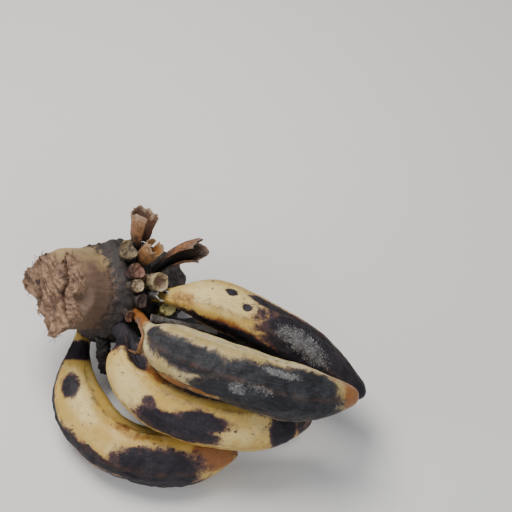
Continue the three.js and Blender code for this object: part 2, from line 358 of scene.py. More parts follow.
class Skin:
    """A grid of skin points along and around a solid, with what each point needs to know."""

    def __init__(self, node, line, rays, along, around, soft_along, soft_around):
        self.node = node
        self.rays = rays
        self.along, self.around = along, around
        self.line = evenly(reach_ends(line, rays), along)
        tangents, self.normals, self.sides = frames_of(softened(self.line, 2.0), BACK)
        self.length = np.linalg.norm(np.diff(self.line, axis=0), axis=1).sum()
        self.turn = np.linspace(-np.pi, np.pi, around, endpoint=False)
        self.ways = (self.normals[:, None] * np.cos(self.turn)[None, :, None]
                     + self.sides[:, None] * np.sin(self.turn)[None, :, None])
        radius = np.full((along, around), np.nan)
        for i in range(1, along - 1):
            for j in range(around):
                hit, _, _, far = rays.ray_cast(Vector(self.line[i]), Vector(self.ways[i, j]), 0.06)
                if hit is not None:
                    radius[i, j] = far
        usual = np.nanmedian(radius, axis=1)
        usual[0], usual[-1] = usual[1], usual[-2]
        missing = np.isnan(radius)
        radius[missing] = np.broadcast_to(usual[:, None], radius.shape)[missing]
        radius = softened(radius, soft_along)
        radius = softened(radius.T, soft_around, loop=True).T
        self.radius = radius
        self.share = np.linspace(0, 1, along)[:, None] + np.zeros((1, around))
        self.angle = self.turn[None, :] + np.zeros((along, 1))
        self.fields = {}
        self.lift = None

    def points(self):
        grid = self.line[:, None] + self.ways * self.radius[..., None]
        if self.lift is not None:
            grid = grid + np.cross(self.normals, self.sides)[:, None] * self.lift[..., None]
        return grid

    def patch(self, share, degrees, half_length, half_width, edge=0.35):
        """1 inside an oval patch and 0 outside it, with a soft edge. Lengths are in mm."""
        along = (self.share - share) * self.length / (half_length * MM)
        aside = np.angle(np.exp(1j * (self.angle - math.radians(degrees))))
        across = aside * np.maximum(self.radius, 0.004) / (half_width * MM)
        return np.clip((1 + edge - np.hypot(along, across)) / (2 * edge), 0, 1)

    def patches(self, listed):
        total = np.zeros(self.share.shape)
        for share, degrees, half_length, half_width, strength in listed:
            total = np.maximum(total, strength * self.patch(share, degrees, half_length, half_width))
        return total

    def noise(self, size, seed, octaves=3):
        """Solid noise about 0, size in mm."""
        flat = self.points().reshape(-1, 3) / (size * MM)
        shift = Vector((seed * 7.3, seed * 3.1, seed * 5.7))
        values = [noise.fractal(Vector(point) + shift, 0.6, 2.1, octaves) for point in flat]
        return np.array(values).reshape(self.share.shape)

    def streaks(self, size, length, seed, octaves=3):
        """Noise about 0 drawn out along the piece, both sizes in mm."""
        ring = 0.02 / (size * MM)
        run = self.share * self.length / (length * MM)
        grid = np.stack([np.cos(self.angle) * ring, np.sin(self.angle) * ring, run + seed * 9.1], axis=-1)
        values = [noise.fractal(Vector(point), 0.6, 2.1, octaves) for point in grid.reshape(-1, 3)]
        return np.array(values).reshape(self.share.shape)

    def ridge(self, degrees, half_width, shares=(0, 1)):
        """1 along a line at an angle, falling off to each side (half_width in degrees)."""
        aside = np.angle(np.exp(1j * (self.angle - math.radians(degrees))))
        start, end = shares
        run = np.clip((self.share - start) / 0.08, 0, 1) * np.clip((end - self.share) / 0.08, 0, 1)
        return np.exp(-(aside / math.radians(half_width)) ** 2) * run

    def build(self, name, smooth=True):
        """The skin as a closed mesh object with its fields as point attributes."""
        grid = self.points()
        grid[..., 2] = np.maximum(grid[..., 2], FLOOR.z + 0.0002)
        count = self.along * self.around
        poles = [grid[0].mean(axis=0), grid[-1].mean(axis=0)]
        points = np.concatenate([grid.reshape(-1, 3), poles])
        faces = []
        for i in range(self.along - 1):
            for j in range(self.around):
                k = (j + 1) % self.around
                a, b = i * self.around, (i + 1) * self.around
                faces.append((a + j, a + k, b + k, b + j))
        last = (self.along - 1) * self.around
        for j in range(self.around):
            k = (j + 1) % self.around
            faces.append((count, k, j))
            faces.append((count + 1, last + j, last + k))
        mesh = bpy.data.meshes.new(name)
        mesh.from_pydata(points.tolist(), [], faces)
        mesh.polygons.foreach_set("use_smooth", [smooth] * len(mesh.polygons))
        grain = np.stack([np.cos(self.angle) * 0.02, np.sin(self.angle) * 0.02,
                          self.share * self.length], axis=-1)
        grain = np.concatenate([grain.reshape(-1, 3), [(0, 0, 0), (0, 0, self.length)]])
        stored = mesh.attributes.new("grain", "FLOAT_VECTOR", "POINT")
        stored.data.foreach_set("vector", grain.astype(np.float32).ravel())
        shown = dict(self.fields, share=self.share)
        for key, values in shown.items():
            ends = [values[0].mean(), values[-1].mean()]
            stored = mesh.attributes.new(key, "FLOAT", "POINT")
            stored.data.foreach_set("value", np.concatenate([values.ravel(), ends]).astype(np.float32))
        mesh.update()
        piece = bpy.data.objects.new(name, mesh)
        bpy.context.scene.collection.objects.link(piece)
        volume = bmesh.new()
        volume.from_mesh(mesh)
        if volume.calc_volume(signed=True) < 0:
            bmesh.ops.reverse_faces(volume, faces=volume.faces)
            volume.to_mesh(mesh)
        volume.free()
        return piece


def stand_for(piece, node):
    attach(piece, "root")
    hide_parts(node)


skins = {}
for number in range(1, 7):
    node = f"banana_{number}"
    line, rays = middle_line(node)
    skins[node] = Skin(node, line, rays, along=210, around=96, soft_along=4, soft_around=2.2)
    print(node, "length mm:", round(skins[node].length / MM),
          "thickest mm:", round(2 * skins[node].radius.max() / MM))

# %% [markdown]
# ## What has happened to each fruit
# Every patch is placed by its share of the way from stem to tip, its angle round the
# fruit (0 towards the camera, positive towards the viewer's side), its half length and
# half width in millimetres, and how strong it is. Rot starts where a fruit was bruised
# or pressed, so the patches sit on the ridges, the necks, the undersides and the tips.

# %%
DARK = {
    "banana_1": [(0.27, -5, 13, 10, 0.72), (0.34, 58, 52, 8, 0.95), (0.52, 48, 36, 9, 0.9),
                 (0.72, 38, 36, 24, 1.0), (0.66, 0, 14, 8, 0.7), (0.70, 95, 40, 14, 0.9),
                 (0.125, 0, 9, 30, 1.0), (0.02, 0, 10, 30, 0.62), (0.5, 150, 90, 26, 0.75),
                 (0.99, 0, 4, 20, 0.4)],
    "banana_2": [(0.47, 38, 30, 13, 1.0), (0.56, 5, 22, 9, 0.8), (0.36, 10, 8, 6, 0.5),
                 (0.85, 15, 11, 28, 0.95), (0.95, 0, 14, 26, 0.6), (0.2, -40, 12, 7, 1.0),
                 (0.45, 160, 100, 24, 0.85), (0.06, 0, 14, 40, 1.0), (0.66, -60, 50, 8, 0.6)],
    "banana_3": [(0.38, -2, 34, 13, 0.78), (0.68, 12, 48, 23, 1.05), (0.56, 44, 34, 14, 1.0),
                 (0.24, -14, 14, 7, 0.55), (0.78, -22, 24, 13, 1.0), (0.76, 55, 36, 12, 0.95),
                 (0.6, 150, 80, 30, 0.9), (0.36, 62, 34, 2.2, 1.0)],
    "banana_4": [(0.33, -40, 5, 4.5, 0.95), (0.41, -18, 4, 3.5, 0.85), (0.72, -14, 52, 26, 1.05),
                 (0.48, 62, 72, 10, 0.98), (0.6, 160, 90, 26, 0.9), (0.74, 30, 34, 18, 0.95),
                 (0.9, 0, 26, 26, 0.95), (0.5, -60, 24, 8, 0.8)],
    "banana_5": [(0.5, 0, 110, 60, 1.0), (0.5, 180, 110, 60, 1.0)],
    "banana_6": [(0.5, 0, 110, 60, 1.0), (0.5, 180, 110, 60, 0.9)],
}
WARM = {
    "banana_1": [(0.92, -10, 22, 20, 1.0), (0.45, 88, 60, 9, 0.8), (0.6, -45, 26, 9, 0.6)],
    "banana_2": [(0.94, 0, 12, 26, 0.7), (0.5, -65, 80, 10, 0.9), (0.3, -50, 20, 9, 0.9),
                 (0.5, 75, 60, 8, 0.5)],
    "banana_3": [(0.97, 0, 14, 20, 1.0), (0.36, 78, 40, 8, 0.9), (0.05, 0, 18, 16, 1.2),
                 (0.93, -60, 22, 6, 0.7)],
    "banana_4": [(0.42, 45, 34, 8, 1.0), (0.8, -72, 60, 4, 1.0), (0.97, 0, 8, 14, 0.8),
                 (0.16, 10, 14, 8, 0.6)],
    "banana_5": [(0.1, 0, 20, 20, 0.4)],
    "banana_6": [(0.1, 0, 20, 20, 0.4)],
}
PALE = {
    "banana_1": [(0.33, -20, 30, 10, 0.8), (0.6, 10, 20, 8, 0.5)],
    "banana_2": [(0.27, 20, 18, 14, 1.0), (0.62, 30, 24, 10, 0.4)],
    "banana_3": [(0.2, -10, 16, 18, 1.0), (0.55, -72, 90, 8, 0.9), (0.45, 20, 26, 14, 0.6)],
    "banana_4": [(0.3, -20, 30, 14, 1.0), (0.45, -50, 30, 9, 0.6)],
    "banana_5": [(0.56, -10, 30, 4, 0.8)],
    "banana_6": [],
}
MOULD = {
    "banana_1": [],
    "banana_2": [],
    "banana_3": [(0.68, -30, 15, 3.5, 0.95), (0.56, 24, 7, 5, 0.9), (0.63, 12, 10, 3, 0.6)],
    "banana_4": [(0.66, -12, 22, 9, 0.75), (0.74, 0, 14, 9, 0.6)],
    "banana_5": [(0.55, -12, 26, 4, 0.6)],
    "banana_6": [(0.4, 30, 30, 14, 0.3)],
}
RIDGES = {
    "banana_1": (36, 92, 165, -125, -50),
    "banana_2": (-22, 50, 122, -165, -95),
    "banana_3": (-62, 8, 62, 140, -135),
    "banana_4": (-70, 5, 70, 140, -140),
    "banana_5": (-40, 35, 105, 180, -110),
    "banana_6": (-30, 45, 115, -175, -100),
}

for number, (node, skin) in enumerate(skins.items()):
    skin.fields = {
        "dark": skin.patches(DARK[node]), "warm": skin.patches(WARM[node]),
        "pale": skin.patches(PALE[node]), "mould": skin.patches(MOULD[node])}
    dark = skin.fields["dark"]
    ends = np.clip(skin.share / 0.16, 0, 1) * np.clip((1 - skin.share) / 0.1, 0, 1)
    body = skin.radius / skin.radius.max()
    ridges = sum(skin.ridge(degrees, 5.5) for degrees in RIDGES[node])
    skin.fields["ridge"] = ridges * ends
    change = 0.9 * ridges * ends * body
    change += 0.8 * body * skin.noise(26, number) - 0.5
    change -= 0.9 * dark * body * (0.6 + skin.noise(9, number + 20))
    change += (0.35 * dark + 0.12) * body * skin.streaks(2.6, 26, number + 40)
    near_stem = np.clip(1 - skin.share / 0.2, 0, 1)
    change += 0.8 * near_stem * skin.streaks(2.2, 30, number + 60)
    near_tip = np.clip(1 - (1 - skin.share) / 0.07, 0, 1)
    change += 0.5 * near_tip * skin.streaks(1.8, 8, number + 80)
    skin.change = change
print("marked", len(skins), "fruits")

# %% [markdown]
# ## Splits and hollows
# The second fruit has caved in behind its neck, and the peel round the hollow stands
# up as a rim. The third has split along its lower edge, where the peel has slipped and
# left a step.

# %%
caved = skins["banana_2"]
hollow = caved.patch(0.17, -40, 19, 10, 0.5)
rim = caved.patch(0.17, -40, 23, 14, 0.25) - caved.patch(0.17, -40, 19, 10, 0.25)
caved.change += 1.6 * np.clip(rim, 0, 1) - 9.0 * hollow ** 1.5
caved.fields["pale"] = np.maximum(caved.fields["pale"], np.clip(rim, 0, 1))
caved.fields["dark"] = np.maximum(caved.fields["dark"], hollow)

split = skins["banana_3"]
wander = 6 * np.sin(split.share * 31) + 4 * np.sin(split.share * 67 + 1)
aside = np.degrees(np.angle(np.exp(1j * (split.angle - np.radians(60 + wander)))))
run = np.clip((split.share - 0.18) / 0.05, 0, 1) * np.clip((0.56 - split.share) / 0.08, 0, 1)
crack = np.exp(-(aside / 2.6) ** 2) * run
step = np.clip(aside / 5, 0, 1) * np.clip((34 - aside) / 20, 0, 1) * run
split.change -= 2.2 * crack + 1.3 * step
split.fields["dark"] = np.maximum(split.fields["dark"] * (1 - 0.8 * step), crack)
split.fields["warm"] = np.maximum(split.fields["warm"], 0.8 * step)
split.fields["pale"] = np.maximum(split.fields["pale"], 0.5 * step)

for skin in skins.values():
    skin.radius = np.maximum(skin.radius + skin.change * MM, 0.002)
    blunt = np.clip(1 - (1 - skin.share) * skin.length / (7 * MM), 0, 1)
    skin.radius = skin.radius * np.sqrt(1 - 0.93 * blunt ** 2)
print("deepest hollow mm:", round(float(-caved.change.min()), 1))

# %% [markdown]
# ## The peel
# Ripe peel runs from cream to ochre. It browns at the edge of a bruise and then turns
# purple-black, dull and a little grey. Each fruit's own fields say roughly where, and
# noise at several sizes breaks the edges up. Fine streaks follow the fruit's length.

# %%
def peel_material(name, cream, ochre, black, bloom, bruise, soft, rot):
    material, tree, shader = new_material(name)
    where = add(tree, "ShaderNodeTexCoord").outputs["Object"]
    grain = vector_field(tree, "grain")
    lengthwise = stretched(tree, grain, (1, 1, 0.12))
    streak = noise_of(tree, lengthwise, 900, 3)
    broad = noise_of(tree, where, 45, 5, 0.6, 0.6)
    middle = noise_of(tree, where, 150, 5, 0.65, 0.4)
    fine = noise_of(tree, where, 520, 4, 0.6)
    pale = maths(tree, "ADD", field(tree, "pale"), remap(tree, broad, 0.35, 0.7, -0.3, 0.6))
    sound = mixed(tree, remap(tree, pale, 0, 1), ochre, cream)
    sound = mixed(tree, remap(tree, streak, 0.45, 0.75, 0, 0.35), sound, (0.42, 0.24, 0.05, 1))
    smudge = maths(tree, "MULTIPLY", remap(tree, middle, 0.5, 0.72), remap(tree, broad, 0.42, 0.62, 0, 0.55))
    sound = mixed(tree, smudge, sound, (0.27, 0.155, 0.055, 1))
    warm = maths(tree, "ADD", field(tree, "warm"), remap(tree, middle, 0.3, 0.7, -0.35, 0.35))
    sound = mixed(tree, remap(tree, warm, 0.35, 0.85), sound, (0.27, 0.1, 0.022, 1))
    broken = maths(tree, "ADD", remap(tree, broad, 0.25, 0.75, -0.26, 0.26),
                   remap(tree, middle, 0.25, 0.75, -0.2, 0.2))
    broken = maths(tree, "ADD", broken, remap(tree, fine, 0.25, 0.75, -0.07, 0.07))
    decay = maths(tree, "ADD", field(tree, "dark"), broken)
    decay = maths(tree, "ADD", decay, rot)
    fleck = noise_of(tree, where, 330, 2, 0.5, 0.2)
    flecked = remap(tree, fleck, 0.62, 0.68)
    flecked = maths(tree, "MULTIPLY", flecked, remap(tree, middle, 0.4, 0.6))
    decay = maths(tree, "ADD", decay, maths(tree, "MULTIPLY", flecked, 0.4))
    browned = mixed(tree, remap(tree, decay, 0.28 - soft, 0.46 + soft), sound, bruise)
    greyed = mixed(tree, remap(tree, fine, 0.3, 0.75), black, bloom)
    greyed = mixed(tree, remap(tree, broad, 0.42, 0.6), black, greyed)
    greyed = mixed(tree, remap(tree, streak, 0.5, 0.8, 0, 0.5), greyed, bloom)
    colour = mixed(tree, remap(tree, decay, 0.42 - soft, 0.64 + soft), browned, greyed)
    ridged = maths(tree, "MULTIPLY", field(tree, "ridge"), remap(tree, middle, 0.4, 0.6))
    colour = mixed(tree, maths(tree, "MULTIPLY", ridged, 0.55), colour, (0.09, 0.045, 0.03, 1))
    powder = maths(tree, "ADD", remap(tree, fine, 0.3, 0.7, -0.5, 0.3),
                   remap(tree, middle, 0.3, 0.7, -0.4, 0.3))
    grown_here = remap(tree, field(tree, "mould"), 0.02, 0.3)
    mouldy = remap(tree, maths(tree, "ADD", field(tree, "mould"), powder), 0.1, 0.8)
    mouldy = maths(tree, "MULTIPLY", mouldy, grown_here)
    colour = mixed(tree, maths(tree, "MULTIPLY", mouldy, 0.45), colour, (0.25, 0.25, 0.245, 1))
    connect(tree, colour, shader.inputs["Base Color"])
    rough = remap(tree, decay, 0.3, 0.7, 0.46, 0.6)
    rough = maths(tree, "ADD", rough, remap(tree, fine, 0.3, 0.7, -0.08, 0.1))
    rough = maths(tree, "ADD", rough, maths(tree, "MULTIPLY", mouldy, 0.3), clamp=True)
    connect(tree, rough, shader.inputs["Roughness"])
    shader.inputs["Subsurface Weight"].default_value = 0.08
    shader.inputs["Subsurface Radius"].default_value = (0.004, 0.0022, 0.001)
    connect(tree, remap(tree, decay, 0.35, 0.7, 0.42, 0.22), shader.inputs["Specular IOR Level"])
    wrinkle = bumped(tree, streak, 0.0006, 0.5)
    pocked = bumped(tree, middle, 0.0012, 0.45, wrinkle)
    dusty = maths(tree, "ADD", fine, maths(tree, "MULTIPLY", mouldy, 0.6))
    connect(tree, bumped(tree, dusty, 0.0004, 0.45, pocked), shader.inputs["Normal"])
    return material


yellow_peel = peel_material("yellow_peel", (0.68, 0.53, 0.22, 1), (0.52, 0.34, 0.075, 1),
                            (0.011, 0.009, 0.013, 1), (0.042, 0.036, 0.044, 1),
                            (0.11, 0.045, 0.04, 1), 0.055, 0.0)
black_peel = peel_material("black_peel", (0.62, 0.53, 0.3, 1), (0.4, 0.3, 0.11, 1),
                           (0.01, 0.01, 0.013, 1), (0.062, 0.064, 0.07, 1),
                           (0.115, 0.08, 0.055, 1), 0.07, 0.1)
PEELS = {m["node"]: m["material_slot"] for m in frame["record"]["subparts"]}
for node, skin in skins.items():
    fruit = skin.build(node + "_skin")
    slot = PEELS[node]
    fruit.data.materials.append(yellow_peel if slot == "yellow_peel" else black_peel)
    stand_for(fruit, node)
    print(node, "faces:", len(fruit.data.polygons))

# %% [markdown]
# ## The stalk
# The stalk is measured in the same way, about its own straight axis. It leans out of the
# pile, and its torn end looks up at the viewer. Rings of points close the torn end, so
# the tear can have its own relief: a deep cleft between two lobes, a ragged rim, pits
# where bundles of fibre pulled out, and a wedge left standing at one side.

# %%
LEAN = np.array((-0.64, -0.385, 0.667))
LEAN /= np.linalg.norm(LEAN)
points, links, rays = solid_of("stalk")
heights = points @ LEAN
start = points.mean(axis=0)
barrel = start + LEAN * (heights.max() - 0.026 - start @ LEAN)
barrel_line = np.array([barrel - LEAN * 0.006, barrel, barrel + LEAN * 0.006])
axis_point = centred(barrel_line, rays, 0.09, rounds=3)[1]
bottom = axis_point + LEAN * (heights.min() + 0.006 - axis_point @ LEAN)
top = np.array(rays.ray_cast(Vector(axis_point), Vector(LEAN), 0.1)[0])
stalk_line = evenly(np.array([bottom, top - LEAN * 0.001]), 30)
stalk = Skin("stalk", stalk_line, rays, along=150, around=180, soft_along=2.2, soft_around=2.0)


def away_from_axis(point):
    """How far a point is from the stalk's middle line, and the way from that line to it."""
    offset = np.asarray(point) - axis_point
    offset = offset - LEAN * (offset @ LEAN)
    far = np.linalg.norm(offset)
    return far, offset / far


def add_cap(skin, rings):
    """Carries the grid on from the last ring in to the middle of the end."""
    skin.body_rings = skin.along
    shares = np.linspace(1, 0.03, rings)
    for key in ("line", "normals", "sides", "ways", "share", "angle"):
        held = getattr(skin, key)
        setattr(skin, key, np.concatenate([held] + [held[-1:]] * rings))
    last = skin.radius[-1:]
    skin.radius = np.concatenate([skin.radius] + [last * share for share in shares])
    skin.along += rings
    skin.inward = np.concatenate([np.ones(skin.body_rings), shares])[:, None] + np.zeros((1, skin.around))
    skin.on_cap = np.concatenate([np.zeros(skin.body_rings), np.ones(rings)])[:, None]
    skin.on_cap = skin.on_cap + np.zeros((1, skin.around))


stalk.radius[-1] = stalk.radius[-4]
stalk.radius[-2] = stalk.radius[-4]
stalk.radius[-3] = stalk.radius[-4]
depth = (1 - stalk.share) * stalk.length / MM
crown_noise = stalk.noise(15, 3)
crown_streaks = stalk.streaks(3.0, 34, 5)
crown = np.clip((depth - 22) / 14, 0, 1)
stalk.radius += MM * (crown * (2.0 * crown_noise + 1.6 * stalk.noise(6, 8) + 0.8 * crown_streaks + 0.4)
                      + (1 - crown) * (0.5 * stalk.noise(22, 4) + 0.35 * stalk.streaks(2.4, 60, 6)))
add_cap(stalk, 60)
depth = (1 - stalk.share) * stalk.length / MM
across = np.array((1.0, 0, 0)) - LEAN * LEAN[0]
across /= np.linalg.norm(across)
upwards = np.cross(LEAN, across)
offset = stalk.points() - stalk.line[:, None]
right_of = offset @ across / MM
above = offset @ upwards / MM
edge = np.clip((stalk.inward - 0.72) / 0.28, 0, 1)
cap = stalk.on_cap
cleft_at = 9 + 3.5 * np.sin(above / 8) + 1.5 * np.sin(above / 3.1)
cleft = np.exp(-((right_of - cleft_at) / 3.4) ** 2) * np.clip((34 - np.abs(above)) / 8, 0, 1)
lobe = np.clip((right_of - cleft_at) / 6, 0, 1) * np.clip((stalk.inward < 0.93) + 0.2, 0, 1)
pits = stalk.noise(11, 11)


def drawn_out(short_way, long_way, thick, length, seed):
    """Noise stretched one way, for bundles that lie side by side. Sizes are in mm."""
    out = np.zeros_like(short_way)
    for at in np.ndindex(out.shape):
        out[at] = noise.fractal(Vector((short_way[at] / thick, long_way[at] / length, seed)), 0.5, 2.0, 2)
    return out


round_lobe = np.hypot(right_of - 20, above - 2)
turned = np.arctan2(above - 2, right_of - 20) * 12
on_lobe = drawn_out(round_lobe, turned, 2.6, 16, 31)
slanting = drawn_out(right_of * 0.9 + above * 0.45, above * 0.9 - right_of * 0.45, 3.0, 15, 32)
strand = on_lobe * lobe + slanting * (1 - lobe)
tear = cap * (-17.0 * cleft + 5.0 * lobe + 1.3 * strand + 2.6 * pits * (1 - 0.8 * lobe))
ragged = stalk.streaks(3.4, 900, 21, 3) * 3.6 + np.sin(stalk.angle * 3 + 1) * 1.6
nearest = np.clip(1 - depth / 9, 0, 1) * stalk.inward ** 3
for ways_out, reach, keen in (((-0.95, 0.32), 7.0, 0.93), ((-0.2, -0.98), 8.0, 0.965)):
    towards = across * ways_out[0] + upwards * ways_out[1]
    wedge = np.clip((stalk.ways @ towards / np.linalg.norm(towards) - keen) / (1 - keen), 0, 1)
    stalk.radius = stalk.radius + wedge * nearest * reach * MM
rim_height = np.clip(1 - depth / 9, 0, 1) ** 1.5 * edge * (ragged + 0.6)
stalk.lift = (tear + rim_height) * MM
stalk.fields = {
    "torn": cap, "strand": strand,
    # cleft marks the deep cleft and the sunken pits, where the finish paints shade into the pith.
    "cleft": cap * np.clip(cleft + np.clip(-pits - 0.15, 0, 1) * 1.4 * (1 - lobe), 0, 1),
    "crown": np.clip((depth - 20 + 10 * crown_noise.mean()) / 24, 0, 1),
    "edge": edge * np.clip(1 - depth / 5, 0, 1),
    # high marks the barrel's upper side, where the stalk's finish paints a highlight.
    "high": np.clip(above / 36, -1, 1), "lower_cut": np.clip((3 - stalk.share * stalk.length / MM) / 2, 0, 1)}
print("stalk radius mm:", round(stalk.radius[:140].mean() / MM), "length mm:", round(stalk.length / MM))

# %% [markdown]
# ## The stalk's finish
# The barrel is smooth and pinkish brown, with a painted highlight that makes its upper
# side yellower. It darkens into the black-brown crown. The torn pith is paler and pink,
# with painted shade in the deep cleft and in the pits where fibre pulled out.

# %%
def stalk_material():
    material, tree, shader = new_material("stalk_skin")
    where = add(tree, "ShaderNodeTexCoord").outputs["Object"]
    lengthwise = stretched(tree, vector_field(tree, "grain"), (1, 1, 0.06))
    streak = noise_of(tree, lengthwise, 1100, 4)
    broad = noise_of(tree, where, 60, 4)
    middle = noise_of(tree, where, 220, 5, 0.65, 0.5)
    fine = noise_of(tree, where, 800, 4, 0.7)
    barrel_colour = mixed(tree, remap(tree, streak, 0.2, 0.8),
                          (0.105, 0.062, 0.042, 1), (0.19, 0.118, 0.078, 1))
    # Painted highlight: the barrel's upper side is mixed towards a lighter yellow.
    painted_top_highlight = maths(tree, "ADD", field(tree, "high"), remap(tree, broad, 0.3, 0.7, -0.3, 0.3))
    barrel_colour = mixed(tree, remap(tree, painted_top_highlight, 0.35, 1.0, 0, 0.8), barrel_colour, (0.38, 0.27, 0.11, 1))
    crown_colour = mixed(tree, remap(tree, middle, 0.4, 0.7),
                         (0.012, 0.009, 0.009, 1), (0.055, 0.04, 0.036, 1))
    gone = maths(tree, "ADD", field(tree, "crown"), remap(tree, middle, 0.3, 0.7, -0.3, 0.3))
    skin_colour = mixed(tree, remap(tree, gone, 0.25, 0.6), barrel_colour, crown_colour)
    drawn = maths(tree, "ADD", field(tree, "strand"), remap(tree, fine, 0.3, 0.7, -0.3, 0.3))
    pith = mixed(tree, remap(tree, drawn, -0.55, 0.6), (0.06, 0.027, 0.015, 1), (0.38, 0.235, 0.14, 1))
    pith = mixed(tree, remap(tree, middle, 0.35, 0.7, 0, 0.5), pith, (0.16, 0.085, 0.05, 1))
    # Painted shade: the pith is darkened to near black in the deep cleft and in the sunken pits.
    hollow = maths(tree, "ADD", field(tree, "cleft"), remap(tree, fine, 0.3, 0.7, -0.25, 0.25))
    pith = mixed(tree, remap(tree, hollow, 0.15, 0.7), pith, (0.025, 0.01, 0.008, 1))
    colour = mixed(tree, remap(tree, field(tree, "torn"), 0.2, 0.8), skin_colour, pith)
    colour = mixed(tree, maths(tree, "MULTIPLY", field(tree, "edge"), 0.4), colour, (0.3, 0.185, 0.115, 1))
    cut = maths(tree, "MULTIPLY", field(tree, "lower_cut"), 0.8)
    colour = mixed(tree, cut, colour, (0.1, 0.06, 0.045, 1))
    connect(tree, colour, shader.inputs["Base Color"])
    connect(tree, remap(tree, middle, 0.3, 0.7, 0.5, 0.8), shader.inputs["Roughness"])
    coarse = bumped(tree, middle, 0.0014, 0.5)
    grooved = bumped(tree, streak, 0.0003, 0.3, coarse)
    connect(tree, bumped(tree, fine, 0.0005, 0.5, grooved), shader.inputs["Normal"])
    return material


stalk_skin = stalk_material()
stalk_piece = stalk.build("stalk_skin")
stalk_piece.data.materials.append(stalk_skin)
stand_for(stalk_piece, "stalk")
print("stalk faces:", len(stalk_piece.data.polygons))

# %% [markdown]
# ## Fibres
# Torn pith ends in short bent threads, thousands of them and no two alike, so a node
# tree sows them: points scattered on a patch of skin, a thread on each, bent by noise
# and turned into a fine tapering tube.

# %%
def tree_with(name, *inputs):
    """A geometry tree with named inputs, and its input and output nodes."""
    tree = bpy.data.node_groups.new(name, "GeometryNodeTree")
    face = tree.interface
    face.new_socket("Geometry", in_out="INPUT", socket_type="NodeSocketGeometry")
    for label, kind, value in inputs:
        socket = face.new_socket(label, in_out="INPUT", socket_type=kind)
        if value is not None:
            socket.default_value = value
    face.new_socket("Geometry", in_out="OUTPUT", socket_type="NodeSocketGeometry")
    return tree, tree.nodes.new("NodeGroupInput"), tree.nodes.new("NodeGroupOutput")


